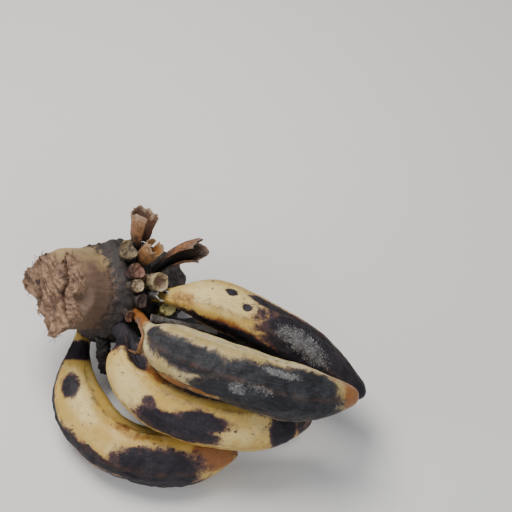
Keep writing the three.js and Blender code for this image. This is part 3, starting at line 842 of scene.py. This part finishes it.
def fibre_tree():
    tree, given, result = tree_with(
        "fibres", ("Density", "NodeSocketFloat", 4e5), ("Length", "NodeSocketFloat", 0.004),
        ("Thickness", "NodeSocketFloat", 0.00014), ("Bend", "NodeSocketFloat", 0.003),
        ("Spread", "NodeSocketFloat", 0.7), ("Seed", "NodeSocketInt", 1),
        ("Material", "NodeSocketMaterial", None))
    inputs = given.outputs
    sown = add(tree, "GeometryNodeDistributePointsOnFaces")
    tree.links.new(inputs["Geometry"], sown.inputs["Mesh"])
    tree.links.new(inputs["Density"], sown.inputs["Density"])
    tree.links.new(inputs["Seed"], sown.inputs["Seed"])
    thread = add(tree, "GeometryNodeCurvePrimitiveLine")
    thread.inputs["Start"].default_value = (0, 0, -0.0006)
    rise = add(tree, "ShaderNodeCombineXYZ")
    tree.links.new(inputs["Length"], rise.inputs["Z"])
    tree.links.new(rise.outputs["Vector"], thread.inputs["End"])
    divided = add(tree, "GeometryNodeResampleCurve")
    divided.inputs["Count"].default_value = 6
    tree.links.new(thread.outputs["Curve"], divided.inputs["Curve"])
    tilt = add(tree, "FunctionNodeRandomValue", data_type="FLOAT_VECTOR")
    spread = maths(tree, "MULTIPLY", inputs["Spread"], -1.0)
    for socket, value in ((tilt.inputs[0], spread), (tilt.inputs[1], inputs["Spread"])):
        tree.links.new(value, socket)
    tree.links.new(inputs["Seed"], tilt.inputs["Seed"])
    turned = add(tree, "FunctionNodeRotateRotation", rotation_space="LOCAL")
    tree.links.new(sown.outputs["Rotation"], turned.inputs["Rotation"])
    tree.links.new(tilt.outputs[0], turned.inputs["Rotate By"])
    size = add(tree, "FunctionNodeRandomValue", data_type="FLOAT")
    size.inputs[2].default_value, size.inputs[3].default_value = 0.4, 1.3
    tree.links.new(inputs["Seed"], size.inputs["Seed"])
    placed = add(tree, "GeometryNodeInstanceOnPoints")
    tree.links.new(sown.outputs["Points"], placed.inputs["Points"])
    tree.links.new(divided.outputs["Curve"], placed.inputs["Instance"])
    tree.links.new(turned.outputs["Rotation"], placed.inputs["Rotation"])
    tree.links.new(size.outputs[1], placed.inputs["Scale"])
    threads = add(tree, "GeometryNodeRealizeInstances")
    tree.links.new(placed.outputs["Instances"], threads.inputs["Geometry"])
    waves = add(tree, "ShaderNodeTexNoise")
    waves.inputs["Scale"].default_value = 260
    tree.links.new(add(tree, "GeometryNodeInputPosition").outputs["Position"], waves.inputs["Vector"])
    centred_wave = add(tree, "ShaderNodeVectorMath", operation="SUBTRACT")
    centred_wave.inputs[1].default_value = (0.5, 0.5, 0.5)
    tree.links.new(waves.outputs["Color"], centred_wave.inputs[0])
    along = add(tree, "GeometryNodeSplineParameter").outputs["Factor"]
    amount = maths(tree, "MULTIPLY", maths(tree, "MULTIPLY", along, inputs["Bend"]), 2.0)
    swayed = add(tree, "ShaderNodeVectorMath", operation="SCALE")
    tree.links.new(centred_wave.outputs["Vector"], swayed.inputs[0])
    tree.links.new(amount, swayed.inputs["Scale"])
    bent = add(tree, "GeometryNodeSetPosition")
    tree.links.new(threads.outputs["Geometry"], bent.inputs["Geometry"])
    tree.links.new(swayed.outputs["Vector"], bent.inputs["Offset"])
    taper = maths(tree, "MULTIPLY", inputs["Thickness"], remap(tree, along, 0, 1, 1, 0.45))
    thinned = add(tree, "GeometryNodeSetCurveRadius")
    tree.links.new(bent.outputs["Geometry"], thinned.inputs["Curve"])
    tree.links.new(taper, thinned.inputs["Radius"])
    outline = add(tree, "GeometryNodeCurvePrimitiveCircle")
    outline.inputs["Resolution"].default_value = 4
    outline.inputs["Radius"].default_value = 1.0
    tubes = add(tree, "GeometryNodeCurveToMesh")
    tree.links.new(thinned.outputs["Curve"], tubes.inputs["Curve"])
    tree.links.new(outline.outputs["Curve"], tubes.inputs["Profile Curve"])
    tubes.inputs["Fill Caps"].default_value = True
    if "Scale" in tubes.inputs:
        radius = add(tree, "GeometryNodeInputRadius")
        tree.links.new(radius.outputs["Radius"], tubes.inputs["Scale"])
    real = add(tree, "GeometryNodeRealizeInstances")
    tree.links.new(tubes.outputs["Mesh"], real.inputs["Geometry"])
    finish = add(tree, "GeometryNodeSetMaterial")
    tree.links.new(real.outputs["Geometry"], finish.inputs["Geometry"])
    tree.links.new(inputs["Material"], finish.inputs["Material"])
    tree.links.new(finish.outputs["Geometry"], result.inputs["Geometry"])
    return tree


def grown(tree, name, host_mesh, values):
    """Runs a tree on a mesh and returns its result as a plain object."""
    host = bpy.data.objects.new(name + "_host", host_mesh)
    bpy.context.scene.collection.objects.link(host)
    modifier = host.modifiers.new("tree", "NODES")
    modifier.node_group = tree
    for item in tree.interface.items_tree:
        if item.in_out == "INPUT" and item.name in values:
            modifier[item.identifier] = values[item.name]
    bpy.context.view_layer.update()
    evaluated = host.evaluated_get(bpy.context.evaluated_depsgraph_get())
    mesh = bpy.data.meshes.new_from_object(evaluated)
    bpy.data.objects.remove(host)
    piece = bpy.data.objects.new(name, mesh)
    bpy.context.scene.collection.objects.link(piece)
    return piece


def skin_patch(skin, chosen):
    """The part of a skin's grid where chosen is true, as a mesh to grow things on."""
    points = skin.points()
    wanted = chosen[:-1] & chosen[1:]
    faces = []
    for i, j in zip(*np.nonzero(wanted)):
        k = (j + 1) % skin.around
        a, b = i * skin.around, (i + 1) * skin.around
        faces.append((int(a + j), int(a + k), int(b + k), int(b + j)))
    mesh = bpy.data.meshes.new("patch")
    mesh.from_pydata(points.reshape(-1, 3).tolist(), [], faces)
    return mesh


def fibre_material(name, dark, light):
    material, tree, shader = new_material(name)
    where = add(tree, "ShaderNodeTexCoord").outputs["Object"]
    shade = noise_of(tree, where, 400, 3)
    connect(tree, mixed(tree, remap(tree, shade, 0.35, 0.65), dark, light), shader.inputs["Base Color"])
    shader.inputs["Roughness"].default_value = 0.8
    return material


fibres = fibre_tree()
pith_fibre = fibre_material("pith_fibre", (0.09, 0.042, 0.024, 1), (0.4, 0.255, 0.155, 1))
torn_face = skin_patch(stalk, (stalk.on_cap > 0.5) & (stalk.inward > 0.08))
threads = grown(fibres, "torn_fibres", torn_face, {
    "Density": 1.2e5, "Length": 0.003, "Thickness": 0.0002, "Bend": 0.0026, "Spread": 1.5,
    "Seed": 4, "Material": pith_fibre})
rim_band = skin_patch(stalk, (stalk.inward > 0.9) & (depth < 3))
strands = grown(fibres, "rim_fibres", rim_band, {
    "Density": 6e4, "Length": 0.0045, "Thickness": 0.0004, "Bend": 0.0045, "Spread": 1.0,
    "Seed": 9, "Material": pith_fibre})
for piece in (threads, strands):
    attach(piece, "root")
    print(piece.name, "faces:", len(piece.data.polygons))

# %% [markdown]
# ## The stubs
# Where a fruit broke off, a short stub of its stem stays on the crown. Each solid is
# wrapped in a fine even mesh, softened, and shrunk and creased by noise. Its broken end
# is paler than its side, and each one has dried to its own colour. In stub_8 and stub_4
# the dark middle of the deeply dished end is painted shade in the hollow.

# %%
def bands(node):
    """The foot, middle and mouth of a piece on the crown, and its radius at the mouth."""
    points, _, _ = solid_of(node)
    far = np.array([away_from_axis(point)[0] for point in points])
    marks = np.quantile(far, (0.12, 0.4, 0.6, 0.85))
    foot = points[far <= marks[0]].mean(axis=0)
    middle = points[(far >= marks[1]) & (far <= marks[2])].mean(axis=0)
    rim = points[far >= marks[3]]
    mouth = rim.mean(axis=0)
    return foot, middle, mouth, np.linalg.norm(rim - mouth, axis=1).mean()


def wrapped(node, voxel, smoothing, creases, dish, seed):
    """A fine closed copy of a node's solid, creased by noise and dished at its end (in mm)."""
    rough = bpy.data.meshes.new(node + "_rough")
    mesh = bmesh.new()
    mesh.from_mesh(frame["nodes"][node].data)
    bmesh.ops.remove_doubles(mesh, verts=mesh.verts, dist=1e-6)
    mesh.to_mesh(rough)
    mesh.free()
    host = bpy.data.objects.new(node + "_rough", rough)
    bpy.context.scene.collection.objects.link(host)
    wrap = host.modifiers.new("wrap", "REMESH")
    wrap.mode, wrap.voxel_size = "VOXEL", voxel * MM
    soften = host.modifiers.new("soften", "SMOOTH")
    soften.factor, soften.iterations = 0.6, smoothing
    bpy.context.view_layer.update()
    evaluated = host.evaluated_get(bpy.context.evaluated_depsgraph_get())
    skin = bpy.data.meshes.new_from_object(evaluated)
    bpy.data.objects.remove(host)
    shift = Vector((seed * 3.7, seed * 1.9, seed * 5.3))
    foot, _, mouth, _ = bands(node)
    stem = Vector(mouth - foot).normalized()
    runs = [stem.dot(v.co) for v in skin.vertices]
    low, high = min(runs), max(runs)
    share = [(run - low) / (high - low) for run in runs]
    aside = [((v.co - Vector(mouth)) - stem * stem.dot(v.co - Vector(mouth))).length for v in skin.vertices]
    broad = sorted(aside)[int(0.9 * len(aside))]
    normals = [v.normal.copy() for v in skin.vertices]
    hearts = []
    for v, normal, run, off in zip(skin.vertices, normals, share, aside):
        crease = noise.fractal(v.co / (2.6 * MM) + shift, 0.6, 2.1, 3)
        wave = noise.fractal(v.co / (7 * MM) + shift, 0.6, 2.0, 2)
        at_end = max(0.0, min(1.0, (run - 0.62) / 0.25)) * max(0.0, stem.dot(normal))
        heart = at_end * max(0.0, 1 - (off / broad / 0.8) ** 2)
        ragged_rim = at_end * (1 - heart) * 2.4 * wave
        hearts.append(heart)
        v.co += normal * MM * (creases * crease + 2.0 * creases * wave * (1 - at_end) - 0.35 * creases)
        v.co += stem * MM * (ragged_rim - dish * heart)
    for key, values in (("share", share), ("heart", hearts)):
        stored = skin.attributes.new(key, "FLOAT", "POINT")
        stored.data.foreach_set("value", values)
    skin.polygons.foreach_set("use_smooth", [True] * len(skin.polygons))
    skin.update()
    return skin


def shown(name, mesh, material, node, slot):
    mesh.materials.clear()
    mesh.materials.append(material)
    piece = bpy.data.objects.new(name, mesh)
    bpy.context.scene.collection.objects.link(piece)
    stand_for(piece, node)
    return piece


def stub_material(name, side, end, heart):
    material, tree, shader = new_material(name)
    where = add(tree, "ShaderNodeTexCoord").outputs["Object"]
    middle = noise_of(tree, where, 260, 5, 0.65, 0.3)
    fine = noise_of(tree, where, 900, 4, 0.65)
    share = maths(tree, "ADD", field(tree, "share"), remap(tree, middle, 0.3, 0.7, -0.22, 0.22))
    deep = mixed(tree, remap(tree, fine, 0.3, 0.7), (0.012, 0.009, 0.009, 1), side)
    colour = mixed(tree, remap(tree, share, 0.45, 0.95), deep, end)
    colour = mixed(tree, remap(tree, fine, 0.5, 0.75, 0, 0.8), colour, side)
    # Painted shade: a dark heart colour, as in stub_8 and stub_4, darkens the dished middle of the end as
    # shade in the hollow.
    middle_part = maths(tree, "ADD", field(tree, "heart"), remap(tree, middle, 0.3, 0.7, -0.3, 0.3))
    colour = mixed(tree, remap(tree, middle_part, 0.2, 0.6), colour, heart)
    connect(tree, colour, shader.inputs["Base Color"])
    connect(tree, remap(tree, middle, 0.3, 0.7, 0.45, 0.75), shader.inputs["Roughness"])
    coarse = bumped(tree, middle, 0.001, 0.5)
    connect(tree, bumped(tree, fine, 0.0005, 0.5, coarse), shader.inputs["Normal"])
    return material


# Columns: dish depth in mm, then side, end and heart colours. The near-black hearts of stub_8 and stub_4 are
# painted shade in their deep dishes.
STUB_LOOKS = {
    "stub_1": (1.2, (0.07, 0.03, 0.022, 1), (0.24, 0.115, 0.07, 1), (0.15, 0.06, 0.04, 1)),
    "stub_2": (0.6, (0.08, 0.05, 0.03, 1), (0.34, 0.25, 0.14, 1), (0.4, 0.31, 0.18, 1)),
    "stub_3": (1.5, (0.03, 0.02, 0.016, 1), (0.1, 0.066, 0.052, 1), (0.05, 0.03, 0.025, 1)),
    "stub_4": (4.5, (0.22, 0.15, 0.08, 1), (0.42, 0.33, 0.18, 1), (0.16, 0.09, 0.055, 1)),
    "stub_5": (0.3, (0.16, 0.14, 0.045, 1), (0.44, 0.38, 0.15, 1), (0.5, 0.44, 0.2, 1)),
    "stub_6": (1.0, (0.04, 0.02, 0.015, 1), (0.24, 0.1, 0.05, 1), (0.15, 0.06, 0.03, 1)),
    "stub_7": (0.5, (0.024, 0.019, 0.024, 1), (0.04, 0.032, 0.04, 1), (0.1, 0.085, 0.08, 1)),
    "stub_8": (5.0, (0.1, 0.075, 0.04, 1), (0.28, 0.2, 0.1, 1), (0.02, 0.014, 0.011, 1)),
    "stub_9": (1.0, (0.03, 0.023, 0.02, 1), (0.09, 0.06, 0.045, 1), (0.1, 0.07, 0.05, 1)),
}
for seed, (node, (dish, *colours)) in enumerate(STUB_LOOKS.items()):
    mesh = wrapped(node, 0.5, 8, 0.8, dish, seed + 1)
    shown(node + "_skin", mesh, stub_material(node + "_finish", *colours), node, "dried_stem")
print("stubs:", len(STUB_LOOKS))

# %% [markdown]
# ## The husks
# A dead fruit dries to a thin curled sheet of peel. Each sheet is rolled round the
# middle line of its solid, narrow at the foot and flared at the mouth, with part of the
# roll missing. The rim is torn to an uneven edge and bleached, and the sheet is dark
# inside. It is given a thickness last, so it stays closed.

# %%
def husk_sheet(node, seed, opening, missing, flare, ragged, curl=0.0, foot_share=0.4, squash=1.0):
    """A torn, rolled sheet. opening is where the missing part faces, in degrees round the
    middle line from the camera's side, and missing is how much of the turn is gone."""
    foot, middle, mouth, radius = bands(node)
    bow = 2 * middle - (foot + mouth) / 2
    rows, columns = 44, 72
    steps = np.linspace(0, 1, rows)
    line = ((1 - steps) ** 2)[:, None] * foot + (2 * steps * (1 - steps))[:, None] * bow
    line = line + (steps ** 2)[:, None] * mouth
    _, normals, sides = frames_of(line, BACK)
    span = (1 - missing) * math.pi
    angles = math.radians(opening) + math.pi + np.linspace(-span, span, columns)
    points = np.zeros((rows, columns, 3))
    share = np.zeros((rows, columns))
    for j, angle in enumerate(angles):
        here = Vector((math.cos(angle) * 1.4, math.sin(angle) * 1.4, seed * 4.1))
        tear = 1 + ragged * (2 * noise.fractal(here * 0.9, 0.6, 2, 2) + 0.2 * noise.noise(here * 2.2))
        for i, step in enumerate(steps):
            run = step * tear
            along = min(run, 1.0) * (rows - 1)
            k = min(int(along), rows - 2)
            centre = line[k] + (line[k + 1] - line[k]) * (along - k)
            centre = centre + (line[-1] - line[-2]) * (rows - 1) * max(0.0, run - 1.0)
            open_out = foot_share + (1 - foot_share) * (1 - (1 - min(run, 1.0)) ** 1.7)
            open_out += flare * max(0.0, run - 0.6) ** 1.5
            crumple = 0.09 * noise.fractal(here * 2.2 + Vector((0, 0, run * 3)), 0.6, 2, 3)
            size = radius * (open_out * (1 + curl * (j / columns - 0.5)) + crumple * run)
            way = normals[k] * math.cos(angle) + sides[k] * math.sin(angle) * squash
            points[i, j] = centre + way * size
            share[i, j] = step
    wall = 0.45 * MM
    mesh = bmesh.new()
    layers = []
    across = np.cross(np.gradient(points, axis=0), np.gradient(points, axis=1))
    across /= np.maximum(np.linalg.norm(across, axis=2), 1e-12)[..., None]
    thin = wall * (1.25 - 0.6 * share)[..., None]
    for level in (1, -1):
        layers.append([[mesh.verts.new(p) for p in row] for row in points + across * thin * level])
    outer, inner = layers
    for i in range(rows - 1):
        for j in range(columns - 1):
            mesh.faces.new((outer[i][j], outer[i][j + 1], outer[i + 1][j + 1], outer[i + 1][j]))
            mesh.faces.new((inner[i][j], inner[i + 1][j], inner[i + 1][j + 1], inner[i][j + 1]))
    for i in range(rows - 1):
        for j in (0, columns - 1):
            mesh.faces.new((outer[i][j], outer[i + 1][j], inner[i + 1][j], inner[i][j]))
    for j in range(columns - 1):
        for i in (0, rows - 1):
            mesh.faces.new((outer[i][j], inner[i][j], inner[i][j + 1], outer[i][j + 1]))
    bmesh.ops.recalc_face_normals(mesh, faces=mesh.faces)
    sheet = bpy.data.meshes.new(node + "_sheet")
    mesh.to_mesh(sheet)
    if mesh.calc_volume(signed=True) < 0:
        sheet.flip_normals()
    mesh.free()
    middle_of = np.array([line[min(int(round(v * (rows - 1))), rows - 1)] for v in share.ravel()])
    flat = points.reshape(-1, 3)
    reach_out = np.linalg.norm(flat - middle_of, axis=1)
    own = np.array([v.co for v in sheet.vertices])
    twice = np.concatenate([middle_of, middle_of])
    inside = (np.linalg.norm(own - twice, axis=1) < np.concatenate([reach_out, reach_out])).astype(np.float32)
    for key, values in (("share", np.concatenate([share.ravel()] * 2)), ("inside", inside)):
        stored = sheet.attributes.new(key, "FLOAT", "POINT")
        stored.data.foreach_set("value", values.astype(np.float32))
    sheet.polygons.foreach_set("use_smooth", [True] * len(sheet.polygons))
    return sheet


def husk_material(name, outer, deep, rim, lining):
    material, tree, shader = new_material(name)
    where = add(tree, "ShaderNodeTexCoord").outputs["Object"]
    middle = noise_of(tree, where, 240, 5, 0.65, 0.5)
    fine = noise_of(tree, where, 900, 4, 0.65)
    share = maths(tree, "ADD", field(tree, "share"), remap(tree, middle, 0.3, 0.7, -0.15, 0.15))
    colour = mixed(tree, remap(tree, middle, 0.35, 0.65), deep, outer)
    colour = mixed(tree, remap(tree, share, 0.25, 0.65, 0.95, 0), colour, (0.022, 0.015, 0.012, 1))
    colour = mixed(tree, maths(tree, "MULTIPLY", field(tree, "inside"), 0.85), colour, lining)
    colour = mixed(tree, remap(tree, share, 0.84, 1.0), colour, rim)
    connect(tree, colour, shader.inputs["Base Color"])
    connect(tree, remap(tree, fine, 0.3, 0.7, 0.5, 0.8), shader.inputs["Roughness"])
    coarse = bumped(tree, middle, 0.0012, 0.5)
    connect(tree, bumped(tree, fine, 0.0004, 0.5, coarse), shader.inputs["Normal"])
    return material


HUSK_SHAPES = {
    "husk_1": dict(opening=62, missing=0.3, flare=0.7, ragged=0.07, curl=0.3, squash=1.0, foot_share=0.55),
    "husk_2": dict(opening=200, missing=0.04, flare=0.1, ragged=0.06, foot_share=0.7),
    "husk_3": dict(opening=25, missing=0.2, flare=0.5, ragged=0.07, curl=-0.2, foot_share=0.32),
    "husk_4": dict(opening=150, missing=0.2, flare=0.3, ragged=0.14, foot_share=0.6),
}
HUSK_LOOKS = {
    "husk_1": ((0.34, 0.17, 0.07, 1), (0.15, 0.065, 0.03, 1), (0.33, 0.22, 0.14, 1), (0.07, 0.032, 0.02, 1)),
    "husk_2": ((0.34, 0.15, 0.045, 1), (0.14, 0.075, 0.035, 1), (0.3, 0.2, 0.11, 1), (0.34, 0.14, 0.035, 1)),
    "husk_3": ((0.34, 0.14, 0.045, 1), (0.06, 0.03, 0.022, 1), (0.2, 0.13, 0.09, 1),
               (0.012, 0.009, 0.008, 1)),
    "husk_4": ((0.24, 0.22, 0.2, 1), (0.07, 0.06, 0.055, 1), (0.55, 0.53, 0.49, 1), (0.04, 0.032, 0.03, 1)),
}
for seed, (node, shape) in enumerate(HUSK_SHAPES.items()):
    sheet = husk_sheet(node, seed + 1, **shape)
    shown(node + "_skin", sheet, husk_material(node + "_finish", *HUSK_LOOKS[node]), node, "dried_peel")
    print(node, "faces:", len(sheet.polygons))

# %% [markdown]
# ## A torn strip of stem
# A dried strip still joins the crown to the necks of the third and second fruits. It is
# a flattened band swept along a bent line between points on the finished skins.

# %%
def on_skin(skin, share, degrees, out=0.0):
    i = int(round(share * (skin.along - 1)))
    j = int(round((degrees / 360 + 0.5) * skin.around)) % skin.around
    return skin.line[i] + skin.ways[i, j] * (skin.radius[i, j] + out * MM)


def strip(name, stops, width, thick, seed):
    knots = np.array(stops)
    line = evenly(softened(evenly(knots, 40), 2.5), 48)
    _, normals, sides = frames_of(line, BACK)
    around = 14
    turn = np.linspace(0, 2 * np.pi, around, endpoint=False)
    points = []
    for i, centre in enumerate(line):
        t = i / (len(line) - 1)
        swell = 0.55 + 0.45 * abs(2 * t - 1) ** 1.5
        ruffle = 1 + 0.3 * noise.fractal(Vector((t * 9, seed, 0)), 0.6, 2, 3)
        for a in turn:
            points.append(centre + sides[i] * math.cos(a) * width * swell * ruffle * MM
                          + normals[i] * math.sin(a) * thick * swell * MM)
    faces = []
    for i in range(len(line) - 1):
        for j in range(around):
            k = (j + 1) % around
            faces.append((i * around + j, i * around + k, (i + 1) * around + k, (i + 1) * around + j))
    faces.append(tuple(range(around))[::-1])
    last = (len(line) - 1) * around
    faces.append(tuple(last + j for j in range(around)))
    mesh = bpy.data.meshes.new(name)
    mesh.from_pydata([tuple(p) for p in points], [], faces)
    check = bmesh.new()
    check.from_mesh(mesh)
    if check.calc_volume(signed=True) < 0:
        bmesh.ops.reverse_faces(check, faces=check.faces)
        check.to_mesh(mesh)
    check.free()
    stored = mesh.attributes.new("share", "FLOAT", "POINT")
    stored.data.foreach_set("value", np.repeat(np.linspace(0.45, 0.9, len(line)), around).astype(np.float32))
    mesh.polygons.foreach_set("use_smooth", [True] * len(mesh.polygons))
    piece = bpy.data.objects.new(name, mesh)
    bpy.context.scene.collection.objects.link(piece)
    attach(piece, "root")
    return piece


tan_strip = stub_material("strip_finish", (0.16, 0.07, 0.03, 1), (0.4, 0.2, 0.075, 1), (0.4, 0.24, 0.1, 1))
third, second = skins["banana_3"], skins["banana_2"]
root = on_skin(third, 0.07, 0, 1.5)
fork = on_skin(third, 0.15, 70, 2.0)
end = on_skin(second, 0.16, -60, -0.5)
rim_end = on_skin(second, 0.13, 10, -0.8)
strips = [
    strip("stem_strip_1", [root, fork, (fork + end) / 2 + np.array(BACK) * 0.003, end], 2.4, 0.9, 1),
    strip("stem_strip_2", [end, on_skin(second, 0.14, -25, 0.2), rim_end], 1.8, 0.7, 2),
]
for piece in strips:
    piece.data.materials.append(tan_strip)
fifth = skins["banana_5"]
ends = on_skin(third, 0.09, -95, 1.5), on_skin(fifth, 0.3, -20, 1.0)
lifted = (ends[0] + ends[1]) / 2 + np.array(BACK) * 0.004
strips.append(strip("stem_strip_3", [ends[0], lifted, ends[1]], 3.6, 0.6, 3))
strips[-1].data.materials.append(
    stub_material("bleached_finish", (0.13, 0.11, 0.1, 1), (0.42, 0.39, 0.36, 1), (0.3, 0.27, 0.24, 1)))
print("strips:", [len(piece.data.polygons) for piece in strips])

# %% [markdown]
# ## Mould grains
# The mould stands off the peel as tiny white grains, thickest in the middle of each
# colony. A node tree scatters them by each skin's own mould field.

# %%
def grain_tree():
    tree, given, result = tree_with(
        "mould_grains", ("Density", "NodeSocketFloat", 1e6), ("Size", "NodeSocketFloat", 0.0003),
        ("Patchiness", "NodeSocketFloat", 220.0), ("Seed", "NodeSocketInt", 1),
        ("Material", "NodeSocketMaterial", None))
    inputs = given.outputs
    colony = add(tree, "GeometryNodeInputNamedAttribute", data_type="FLOAT")
    colony.inputs["Name"].default_value = "mould"
    patches = add(tree, "ShaderNodeTexNoise")
    tree.links.new(add(tree, "GeometryNodeInputPosition").outputs["Position"], patches.inputs["Vector"])
    tree.links.new(inputs["Patchiness"], patches.inputs["Scale"])
    patches.inputs["Detail"].default_value = 4
    broken = remap(tree, patches.outputs["Fac"], 0.46, 0.62)
    density = maths(tree, "MULTIPLY", maths(tree, "MULTIPLY", broken, colony.outputs[0]), inputs["Density"])
    sown = add(tree, "GeometryNodeDistributePointsOnFaces")
    tree.links.new(inputs["Geometry"], sown.inputs["Mesh"])
    tree.links.new(density, sown.inputs["Density"])
    tree.links.new(inputs["Seed"], sown.inputs["Seed"])
    speck = add(tree, "GeometryNodeMeshIcoSphere")
    speck.inputs["Subdivisions"].default_value = 1
    tree.links.new(inputs["Size"], speck.inputs["Radius"])
    size = add(tree, "FunctionNodeRandomValue", data_type="FLOAT")
    size.inputs[2].default_value, size.inputs[3].default_value = 0.4, 1.2
    tree.links.new(inputs["Seed"], size.inputs["Seed"])
    placed = add(tree, "GeometryNodeInstanceOnPoints")
    tree.links.new(sown.outputs["Points"], placed.inputs["Points"])
    tree.links.new(speck.outputs["Mesh"], placed.inputs["Instance"])
    tree.links.new(sown.outputs["Rotation"], placed.inputs["Rotation"])
    tree.links.new(size.outputs[1], placed.inputs["Scale"])
    real = add(tree, "GeometryNodeRealizeInstances")
    tree.links.new(placed.outputs["Instances"], real.inputs["Geometry"])
    finish = add(tree, "GeometryNodeSetMaterial")
    tree.links.new(real.outputs["Geometry"], finish.inputs["Geometry"])
    tree.links.new(inputs["Material"], finish.inputs["Material"])
    tree.links.new(finish.outputs["Geometry"], result.inputs["Geometry"])
    return tree


mould_tree = grain_tree()
mould_white, tree, shader = new_material("mould_white")
shade = noise_of(tree, add(tree, "ShaderNodeTexCoord").outputs["Object"], 300, 2)
connect(tree, mixed(tree, remap(tree, shade, 0.3, 0.7), (0.42, 0.42, 0.4, 1), (0.68, 0.68, 0.65, 1)),
        shader.inputs["Base Color"])
shader.inputs["Roughness"].default_value = 0.95
for seed, node in enumerate(("banana_3", "banana_4")):
    host = bpy.data.objects[node + "_skin"].data
    colony = grown(mould_tree, node + "_mould", host, {
        "Density": 1.5e6, "Size": 0.00026, "Patchiness": 330.0, "Seed": seed + 2, "Material": mould_white})
    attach(colony, "root")
    print(colony.name, "faces:", len(colony.data.polygons))
